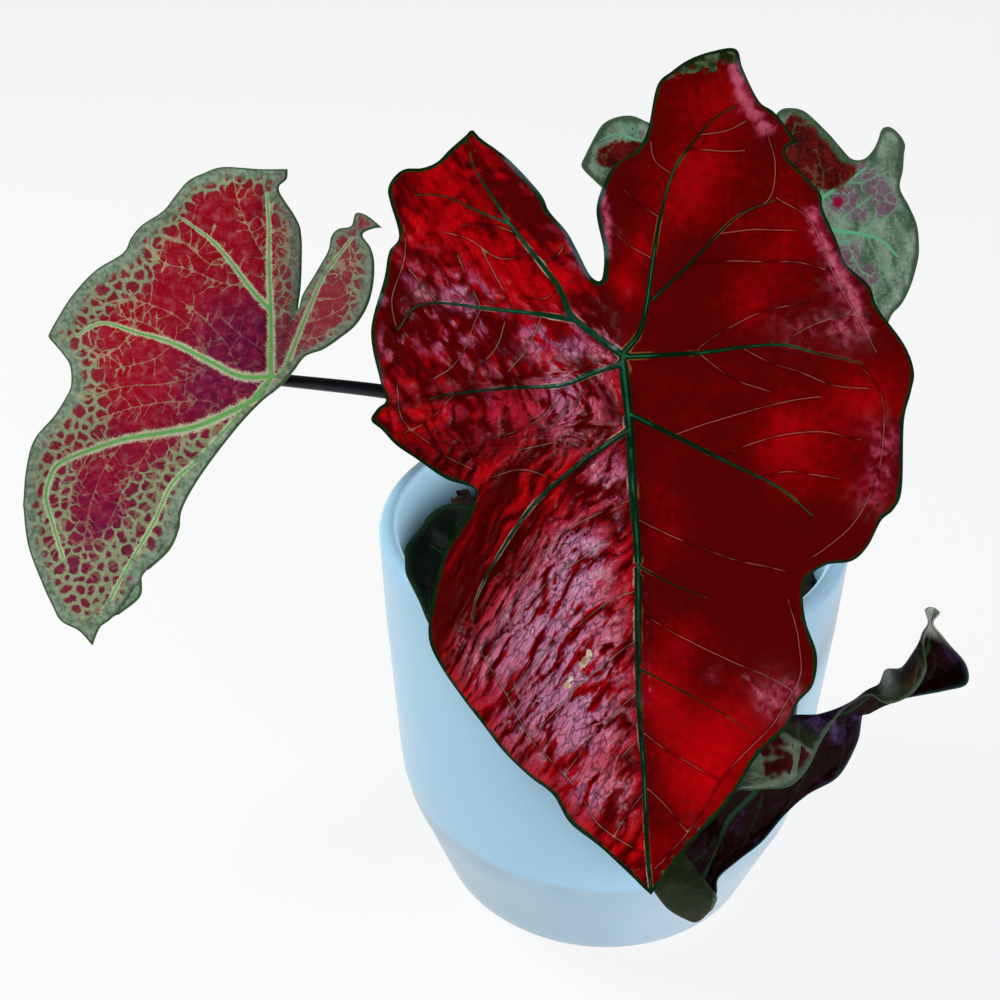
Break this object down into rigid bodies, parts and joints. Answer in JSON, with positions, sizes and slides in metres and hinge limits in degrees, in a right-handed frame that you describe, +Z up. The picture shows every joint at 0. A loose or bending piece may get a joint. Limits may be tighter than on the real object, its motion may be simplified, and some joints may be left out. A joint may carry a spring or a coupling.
{
  "type": "potted caladium",
  "caption": "Caladium plant with heart-shaped, waved leaves on thin stalks, growing from soil in a round cover pot with a bevelled foot.",
  "frame": {"origin": "middle of the pot's flat foot, on the surface that the pot stands on", "axes": "+Z is up, along the pot's axis; the front leaf faces -Y; +X is to the right seen from the front"},
  "size_m": [0.2883, 0.2143, 0.2635],
  "materials": {
    "pot_ceramic": "smooth pale glaze, white with a cool blue cast; real material glazed ceramic",
    "soil": "matt crumbly potting soil",
    "tuber": "matt brown skin",
    "red_blade": "living leaf, glossy deep red with dark green veins and margin",
    "pink_blade": "living leaf, satin crimson mottled with pale green, veins green with cream edges",
    "pale_blade": "living leaf, satin grey green with mauve and dark red patches",
    "dark_blade": "drying leaf, near-black maroon above, olive green below",
    "green_blade": "living leaf, satin, very dark green",
    "stalk": "fleshy stalk, satin, near black with a blue violet cast",
    "dry_sheath": "dry papery brown sheath"
  },
  "bodies": {
    "root": {"pot": "pot_ceramic", "soil": "soil", "tuber": "tuber", "front_leaf": "red_blade", "front_stalk": "stalk", "left_leaf": "pink_blade", "left_stalk": "stalk", "back_leaf": "pale_blade", "back_stalk": "stalk", "curled_leaf": "dark_blade", "curled_stalk": "stalk", "low_leaf": "green_blade", "low_stalk": "stalk", "dry_sheath": "dry_sheath"}
  },
  "joints": []
}
